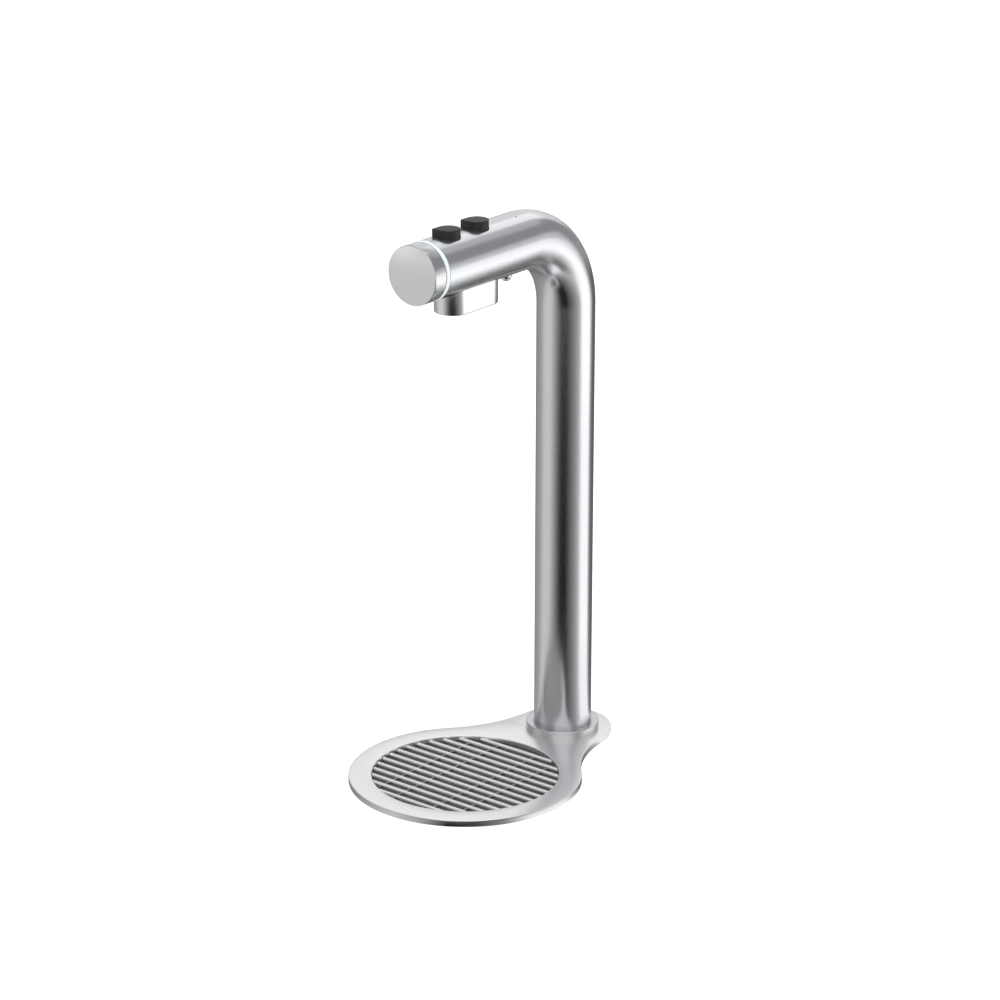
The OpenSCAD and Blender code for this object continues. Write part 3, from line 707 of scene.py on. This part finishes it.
def make_swan_neck():
    tools = []
    past_tube = 2 * TUBE_R
    for node in ("front_button", "rear_button"):
        centre = button_centre(node)[0]
        bm = bmesh.new()
        add_slab(bm, droplet(WELL_GAP, centre), [], [(0, ARM_Z), (0, ARM_Z + past_tube)])
        tools.append(cutter(node + "_well", bm))
    lean = Matrix.Translation((0, LENS_Y, ARM_Z)) @ Matrix.Rotation(LENS_TURN, 4, "Y")
    lens_hole = round_profile(0, LENS_HOLE_D / 2, 0, past_tube)
    tools.append(round_cutter("lens_hole", lens_hole, lean, LENS_ROUND))
    tube = cut(neck_wall(), tools)
    unbent = tube.attributes.new("unbent", "FLOAT_VECTOR", "POINT")
    for item, vertex in zip(unbent.data, tube.vertices):
        item.vector = unbent_place(vertex.co)
    place_piece(piece_from("neck_tube", tube, "satin_steel"), "tower", "satin_steel", "swan_neck")


# Front end, foot and outlet

def make_end_cap():
    face = cap_low.y
    back = cap_high.y - face
    inside = BORE_R - CAP_STEP
    profile = [(0, 0), (0, -CAP_FACE_T), (inside, -CAP_FACE_T), (inside, -back)]
    profile += [(TUBE_R - CAP_EDGE / 2, -back), (TUBE_R, CAP_EDGE / 2 - back)]
    profile += fillet(TUBE_R - CAP_EDGE, -CAP_EDGE, CAP_EDGE, 0, 90)
    piece = turned("cap_shell", profile, on_arm(face), "cap_steel")
    place_piece(piece, "tower", "cap_steel", "end_cap")


def make_light_ring():
    front = ring_low.y
    width = ARM_END - front
    lip = ring_high.y - front
    inside = BORE_R - RING_STEP
    lip_r = BORE_R - FIT_GAP
    band = [(TUBE_R, -width * i / RING_STEPS) for i in range(RING_STEPS + 1)]
    profile = [(inside, 0)] + band + [(lip_r, -width), (lip_r, -lip), (inside, -lip)]
    piece = turned("glow_ring", profile, on_arm(front), "ring_plastic")
    # The glow value also darkens the base colour at the band's edges as painted shade.
    glow = piece.data.attributes.new("glow", "FLOAT", "POINT")
    for item, vertex in zip(glow.data, piece.data.vertices):
        from_edge = min(vertex.co.y - front, ARM_END - vertex.co.y)
        item.value = min(max(from_edge / RING_FADE, 0), 1)
    place_piece(piece, "tower", "ring_plastic", "light_ring")


def make_foot_collar():
    outer = collar_high.x
    inner = TUBE_R + FIT_GAP
    inner_edge = COLLAR_EDGE / 2
    profile = [(inner, collar_low.z), (outer, collar_low.z)]
    profile += fillet(outer - COLLAR_EDGE, collar_high.z - COLLAR_EDGE, COLLAR_EDGE, 0, 90)
    profile += fillet(inner + inner_edge, collar_high.z - inner_edge, inner_edge, 90, 180)
    piece = turned("collar_ring", profile, upright(0), "collar_steel")
    place_piece(piece, "tower", "plate_steel", "foot_collar")


def make_clamp_screw():
    head_r = CLAMP_HEAD_D / 2
    shank_r = CLAMP_D / 2
    rim = ARM_Z - TUBE_R
    dome = fillet(0, clamp_low.z + head_r, head_r, -90, 0, DOME_STEPS)
    profile = [(0, clamp_low.z)] + dome[1:]
    profile += [(head_r, rim), (shank_r, rim), (shank_r, clamp_high.z), (0, clamp_high.z)]
    piece = turned("clamp_head", profile, upright(CLAMP_Y), "polished_steel")
    place_piece(piece, "tower", "polished_steel", "clamp_screw")


def make_outlet_block():
    half_w = block_high.x
    bend = (block_high.y - block_low.y) / 2 - half_w
    rear, front = BLOCK_Y + bend, BLOCK_Y - bend
    loop = arc((0, rear), half_w, 0, 180, BLOCK_END_STEPS)
    loop += arc((0, front), half_w, 180, 360, BLOCK_END_STEPS)
    bm = bmesh.new()
    add_slab(bm, loop, [], rounded_levels(block_low.z, ARM_Z, BLOCK_EDGE, HAIR_EDGE))
    body = mesh_from("outlet_body", bm)
    past_block = 4 * TUBE_R
    seat = round_profile(0, TUBE_R + FIT_GAP, -past_block, past_block)
    tools = [round_cutter("arm_seat", seat, on_arm(BLOCK_Y), SEAT_ROUND)]
    deep = 3 * TUBE_R
    ways = {
        "hot_way": (rear, NOZZLE_HOLE_D),
        "cold_way": (front, NOZZLE_HOLE_D),
        "screw_way": (BLOCK_Y, BLOCK_SCREW_HEAD + 2 * FIT_GAP),
    }
    for name, (y, hole_d) in ways.items():
        hole = round_profile(0, hole_d / 2, block_low.z - deep, block_low.z + deep)
        tools.append(round_cutter(name, hole, upright(y), HOLE_ROUND))
    piece = piece_from("outlet_shell", cut(body, tools), "polished_steel")
    place_piece(piece, "tower", "polished_steel", "outlet_block")


# Buttons and their springs

def seat_height(node):
    """Height of the underside of a button's flange, where its spring ends."""
    spring_high = Vector(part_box(node.replace("button", "spring"))[1])
    return spring_high.z + FIT_GAP


def make_button(node, body):
    centre, low, high = button_centre(node)
    flange_low = seat_height(node)
    bm = bmesh.new()
    add_slab(bm, droplet(0, centre), [], rounded_levels(flange_low, high, HAIR_EDGE, BUTTON_EDGE))
    add_slab(bm, droplet(FLANGE_W, centre), [],
             rounded_levels(flange_low, flange_low + FLANGE_T, HAIR_EDGE, HAIR_EDGE))
    add_lathe(bm, round_profile(0, STEM_D / 2, low, flange_low), Matrix.Translation((*centre, 0)), HOLE_ROUND)
    piece = piece_from(node + "_cap", mesh_from(node, bm), "button_black")
    place_piece(piece, body, "button_black", node)


def spring_path(low, high):
    """Points of a spring's wire from its lower end to its upper end."""
    axis = (low + high) / 2
    coil_r = (high.x - low.x - SPRING_WIRE) / 2
    bottom = low.z + SPRING_WIRE / 2
    rise = high.z - low.z - SPRING_WIRE
    steps = COIL_STEPS * SPRING_TURNS
    path = []
    for i in range(steps + 1):
        turn = 2 * math.pi * SPRING_TURNS * i / steps
        across = Vector((axis.x + coil_r * math.cos(turn), axis.y + coil_r * math.sin(turn)))
        path.append(Vector((*across, bottom + rise * i / steps)))
    return path


def make_spring(node):
    """The coil that brings a button back; it shortens as the button goes down, but here it is a fixed coil on
    the tower.
    """
    low, high = map(Vector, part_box(node))
    wire = grown(node + "_wire", path_curve(node + "_path", spring_path(low, high)), tube_along_path,
                 {"Radius": SPRING_WIRE / 2, "Sides": COIL_SIDES, "Closed": True,
                  "Material": finishes["turned_steel"]})
    piece = piece_from(node + "_coil", merged(node + "_coil", wire), "turned_steel")
    place_piece(piece, "tower", "turned_steel", node)
    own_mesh(piece)


# Base plate and grille

def make_base_plate():
    bm = bmesh.new()
    add_slab(bm, plate_outline(), [circle((0, TRAY_Y), TRAY_R, TRAY_ROUND), circle((0, 0), BORE_R, ROUND)],
             rounded_levels(plate_low.z, plate_high.z, PLATE_UNDER_EDGE, PLATE_EDGE))
    body = mesh_from("plate_body", bm)
    below = -10 * MM
    rebate = round_profile(0, DISH_R + FIT_GAP, below, REBATE_H)
    groove = round_profile(SEAL_INNER - FIT_GAP, seal_high.x + FIT_GAP, below, seal_high.z + FIT_GAP)
    tools = [round_cutter("dish_seat", rebate, upright(TRAY_Y), TRAY_ROUND),
             round_cutter("seal_groove", groove, upright(0))]
    piece = piece_from("plate_shell", cut(body, tools), "plate_steel")
    place_piece(piece, "tower", "plate_steel", "base_plate")


def rod_row(name, places, reach, rod_d, sides):
    """Rods along X at places along Y, each a little longer than the circle of that reach."""
    points = bpy.data.meshes.new(name)
    points.from_pydata([(0, y, 0) for y in places], [], [])
    return grown(name, points, bars_in_a_circle,
                 {"Circle": reach, "Bar": rod_d, "Sides": sides, "Material": finishes["bar_steel"]})


def make_grille():
    bar_places = [(i - (BAR_COUNT - 1) / 2) * BAR_PITCH for i in range(BAR_COUNT)]
    wire_places = [-WIRE_OUTER, -WIRE_INNER, WIRE_INNER, WIRE_OUTER]
    bars = rod_row("grille_bars", bar_places, GRILLE_R, BAR_D, BAR_SIDES)
    wires = rod_row("grille_wires", wire_places, GRILLE_R - BAR_D - WIRE_D / 2, WIRE_D, WIRE_SIDES)
    bar_z = grille_high.z - BAR_D / 2
    wire_z = grille_low.z + WIRE_D / 2
    bars.transform(Matrix.Translation((0, TRAY_Y, bar_z)))
    wires.transform(Matrix.Translation((0, TRAY_Y, wire_z)) @ Matrix.Rotation(math.radians(90), 4, "Z"))
    rim = round_profile(GRILLE_R, GRILLE_R + 4 * BAR_D, grille_low.z - BAR_D, grille_high.z + BAR_D)
    bars = cut(bars, [round_cutter("grille_edge", rim, upright(TRAY_Y), TRAY_ROUND)])
    bm = bmesh.new()
    bm.from_mesh(bars)
    bm.from_mesh(wires)
    mesh = bpy.data.meshes.new("grille_rods")
    bm.to_mesh(mesh)
    bm.free()
    # Marks the wires, which get bar_steel's painted shade tint.
    which = mesh.attributes.new("wire", "FLOAT", "POINT")
    which.data.foreach_set("value", [0.0] * len(bars.vertices) + [1.0] * len(wires.vertices))
    place_piece(piece_from("grille_rods", mesh, "bar_steel"), "grille", "bar_steel", "drip_grille")


make_swan_neck()
make_end_cap()
make_light_ring()
make_foot_collar()
make_clamp_screw()
make_outlet_block()
make_button("front_button", "front_button")
make_button("rear_button", "rear_button")
make_spring("front_spring")
make_spring("rear_spring")
make_base_plate()
make_grille()


# Camera

CAMERA_PLACE = Vector((1.8443, -2.38284, 1.27857))
CAMERA_TARGET = Vector((0, -0.088141, 0.238998))
CAMERA_ROLL = math.radians(0.1353)
CAMERA_LENS = 133.794
CAMERA_SENSOR = 36
CAMERA_SIGHT = 50


def make_camera():
    lens = bpy.data.cameras.new("camera")
    lens.lens = CAMERA_LENS
    lens.sensor_width = CAMERA_SENSOR
    lens.clip_end = CAMERA_SIGHT
    ahead = (CAMERA_TARGET - CAMERA_PLACE).normalized()
    right = ahead.cross(Vector((0, 0, 1))).normalized()
    up = right.cross(ahead)
    rolled_right = right * math.cos(CAMERA_ROLL) + up * math.sin(CAMERA_ROLL)
    rolled_up = up * math.cos(CAMERA_ROLL) - right * math.sin(CAMERA_ROLL)
    turn = Matrix((rolled_right, rolled_up, -ahead)).transposed()
    camera = new_object("camera", lens)
    camera.matrix_world = Matrix.Translation(CAMERA_PLACE) @ turn.to_4x4()
    bpy.context.scene.camera = camera


# Floor, lamps and reflector cards, in metres; turns are in degrees from the camera's side to the right

TO_CAMERA = Vector((0.626, -0.779, 0))
TO_RIGHT = Vector((0.779, 0.626, 0))

FLOOR_HALF = 30
FLOOR_Z = -0.5 * MM
FLOOR_PAINT = 0.9
FLOOR_GLOW = 0.68
WORLD_GREY = (0.36, 0.36, 0.37)

LAMP_AIM = Vector((0, -0.09, 0.25))
softboxes = {
    "rear_wall": dict(turn=180, distance=1.5, height=1.25, width=1.9, tall=1.6, radiance=0.6),
    "rear_softbox": dict(turn=156, distance=1.4, height=1.5, width=0.7, tall=0.64, radiance=0.45),
    "right_softbox": dict(turn=88, distance=0.9, height=0.33, width=1.0, tall=0.66, radiance=0.42),
    "left_softbox": dict(turn=-85, distance=1.3, height=0.7, width=0.7, tall=1.0, radiance=0.3),
    "top_softbox": dict(turn=0, distance=0.5, height=1.9, width=2.2, tall=2.6, radiance=1.03),
    "side_softbox": dict(turn=128, distance=1.5, height=1.75, width=0.8, tall=0.6, radiance=0.3),
    "front_wall": dict(turn=0, distance=3.6, height=1.7, width=5.0, tall=2.6, radiance=0.5),
}

# Shades of the cards: stops of turn and brightness
FRONT_SHADES = [(-110, 0.5), (-90, 0.84), (-62, 0.86), (-50, 0.6), (-40, 0.36), (-30, 0.17), (-18, 0.01),
                (-6, 0), (6, 0.01), (17, 0.13), (34, 0.3), (48, 0.5), (56, 0.75), (64, 1)]
REAR_SHADES = [(106, 1), (112, 0.45), (118, 0.24), (128, 0.15), (145, 0.13), (180, 0.2), (216, 0.36),
               (250, 0.5)]
FAR_SHADES = [(106, 1), (118, 0.4), (250, 0.4)]
RIM_SHADES = [(-120, 0.1), (-95, 0.13), (-69, 0.27), (-54, 0.41), (-39, 0.6), (-24, 0.42), (-9, 0),
              (6, 0.04), (21, 0.26), (36, 1), (60, 1), (70, 0.5), (80, 0.12), (120, 0.1)]
TAIL_SHADES = [(50, 0.9), (124, 0.9)]
SLAT_BRIGHT = [(64, 1.6), (106, 1.6)]
SLAT_DARK = [(64, 0.19), (106, 0.19)]

CARD_STEP = 3
CARD_Z = -0.2 * MM
UPPER_CARD_Z = -0.1 * MM
CARD_NEAR = 0.04
CARD_FAR = 2.6
STAGE_FAR = 25.0
LOUVRE_NEAR = 0.24
LOUVRE_FAR = 0.88
SLAT_STEP = 0.04
SLAT_LENGTH = 1.3 * SLAT_STEP
SLAT_TILT = math.radians(50)
SLAT_SKIN = 1 * MM


def studio_direction(turn):
    """Direction on the floor, turned from the camera's side towards the picture's right, in degrees."""
    t = math.radians(turn)
    return math.cos(t) * TO_CAMERA + math.sin(t) * TO_RIGHT


def make_softbox(name, turn, distance, height, width, tall, radiance):
    """A rectangular lamp that gives the radiance asked for, unseen by the camera."""
    lamp = bpy.data.lights.new(name, "AREA")
    lamp.shape = "RECTANGLE"
    lamp.size = width
    lamp.size_y = tall
    lamp.energy = radiance * math.pi * width * tall
    box = new_object(name, lamp)
    place = studio_direction(turn) * distance + Vector((0, 0, height))
    facing = (LAMP_AIM - place).to_track_quat("-Z", "Y").to_matrix().to_4x4()
    box.matrix_world = Matrix.Translation(place) @ facing
    box.visible_camera = False


def make_floor():
    """A white floor that fills the picture and keeps a faint shadow."""
    material, tree, surface = empty_material("white_floor")
    paint = tree.nodes.new("ShaderNodeBsdfDiffuse")
    paint.inputs["Color"].default_value = (FLOOR_PAINT, FLOOR_PAINT, FLOOR_PAINT, 1)
    glow = tree.nodes.new("ShaderNodeEmission")
    path = tree.nodes.new("ShaderNodeLightPath")
    seen = math_node(tree, "MAXIMUM", path.outputs["Is Camera Ray"], path.outputs["Is Glossy Ray"])
    seen = math_node(tree, "MAXIMUM", seen, path.outputs["Is Transmission Ray"])
    tree.links.new(math_node(tree, "MULTIPLY", seen, FLOOR_GLOW), glow.inputs["Strength"])
    both = tree.nodes.new("ShaderNodeAddShader")
    tree.links.new(paint.outputs["BSDF"], both.inputs[0])
    tree.links.new(glow.outputs["Emission"], both.inputs[1])
    tree.links.new(both.outputs["Shader"], surface)
    corners = [(-FLOOR_HALF, -FLOOR_HALF), (FLOOR_HALF, -FLOOR_HALF), (FLOOR_HALF, FLOOR_HALF),
               (-FLOOR_HALF, FLOOR_HALF)]
    mesh = bpy.data.meshes.new("floor")
    mesh.from_pydata([(x, y, FLOOR_Z) for x, y in corners], [], [(0, 1, 2, 3)])
    mesh.materials.append(material)
    new_object("floor", mesh)


def card_material():
    """Reflector card: its shade is printed on it and only glossy surfaces see it."""
    material, tree, surface = empty_material("reflector_card")
    shade = tree.nodes.new("ShaderNodeAttribute")
    shade.attribute_name = "shade"
    glow = tree.nodes.new("ShaderNodeEmission")
    tree.links.new(shade.outputs["Fac"], glow.inputs["Color"])
    tree.links.new(glow.outputs["Emission"], surface)
    return material


def flat(near, far, height=CARD_Z):
    """One strip that lies flat, from a near to a far reach."""
    return [((near, height), (far, height))]


def slats(shift):
    """Strips that lean towards the column, one behind the other, so that only low rays get under them."""
    lean = SLAT_LENGTH * math.cos(SLAT_TILT)
    rise = SLAT_LENGTH * math.sin(SLAT_TILT)
    count = round((LOUVRE_FAR - LOUVRE_NEAR) / SLAT_STEP)
    feet = [LOUVRE_NEAR + shift + SLAT_STEP * i for i in range(count + 1)]
    return [((foot - lean, rise), (foot, 0)) for foot in feet]


def shade_steps(stops):
    """Turns a few degrees apart, and the brightness at each, between the stops."""
    turns, shades = [], []
    for (turn, shade), (next_turn, next_shade) in zip(stops, stops[1:]):
        steps = max(int((next_turn - turn) / CARD_STEP), 1)
        for i in range(steps):
            turns.append(turn + (next_turn - turn) * i / steps)
            shades.append(shade + (next_shade - shade) * i / steps)
    return turns + [stops[-1][0]], shades + [stops[-1][1]]


def make_card(name, stops, centre, strips, material):
    """Fan-shaped strips round a centre, shaded between stops of turn and brightness."""
    turns, shades = shade_steps(stops)
    points, faces = [], []
    for strip in strips:
        first = len(points)
        for turn in turns:
            for reach, height in strip:
                points.append(centre + studio_direction(turn) * reach + Vector((0, 0, height)))
        for i in range(first, len(points) - 2, 2):
            faces.append((i, i + 1, i + 3, i + 2))
    mesh = bpy.data.meshes.new(name)
    mesh.from_pydata(points, [], faces)
    layer = mesh.attributes.new("shade", "FLOAT", "POINT")
    layer.data.foreach_set("value", [shade for shade in shades for _ in range(2)] * len(strips))
    mesh.materials.append(material)
    card = new_object(name, mesh)
    card.visible_camera = False
    card.visible_diffuse = False
    card.visible_shadow = False
    card.visible_transmission = False


def make_cards():
    """Cards on the floor round the column and the tray, and a louvre of slats at the right."""
    printed = card_material()
    column = Vector((0, 0, 0))
    tray = Vector((0, TRAY_Y, 0))
    rim = flat(0.6 * DISC_R, 1.15 * DISC_R, UPPER_CARD_Z)
    tail = flat(0.9 * TAIL_R, 1.5 * TAIL_R, UPPER_CARD_Z)
    make_card("front_card", FRONT_SHADES, column, flat(CARD_NEAR, CARD_FAR), printed)
    make_card("rear_card", REAR_SHADES, column, flat(CARD_NEAR, CARD_FAR), printed)
    make_card("far_card", FAR_SHADES, column, flat(CARD_FAR, STAGE_FAR), printed)
    make_card("louvre_undersides", SLAT_BRIGHT, column, slats(0), printed)
    make_card("louvre_tops", SLAT_DARK, column, slats(SLAT_SKIN), printed)
    make_card("louvre_bed", SLAT_DARK, column, flat(LOUVRE_NEAR, LOUVRE_FAR), printed)
    make_card("rim_card", RIM_SHADES, tray, rim, printed)
    make_card("tail_card", TAIL_SHADES, column, tail, printed)


def make_world():
    world = bpy.data.worlds.new("studio")
    world.use_nodes = True
    world.node_tree.nodes["Background"].inputs["Color"].default_value = opaque(WORLD_GREY)
    bpy.context.scene.world = world


make_camera()
make_floor()
make_cards()
for softbox, set_up in softboxes.items():
    make_softbox(softbox, **set_up)
make_world()
bpy.context.scene.view_settings.view_transform = "Standard"
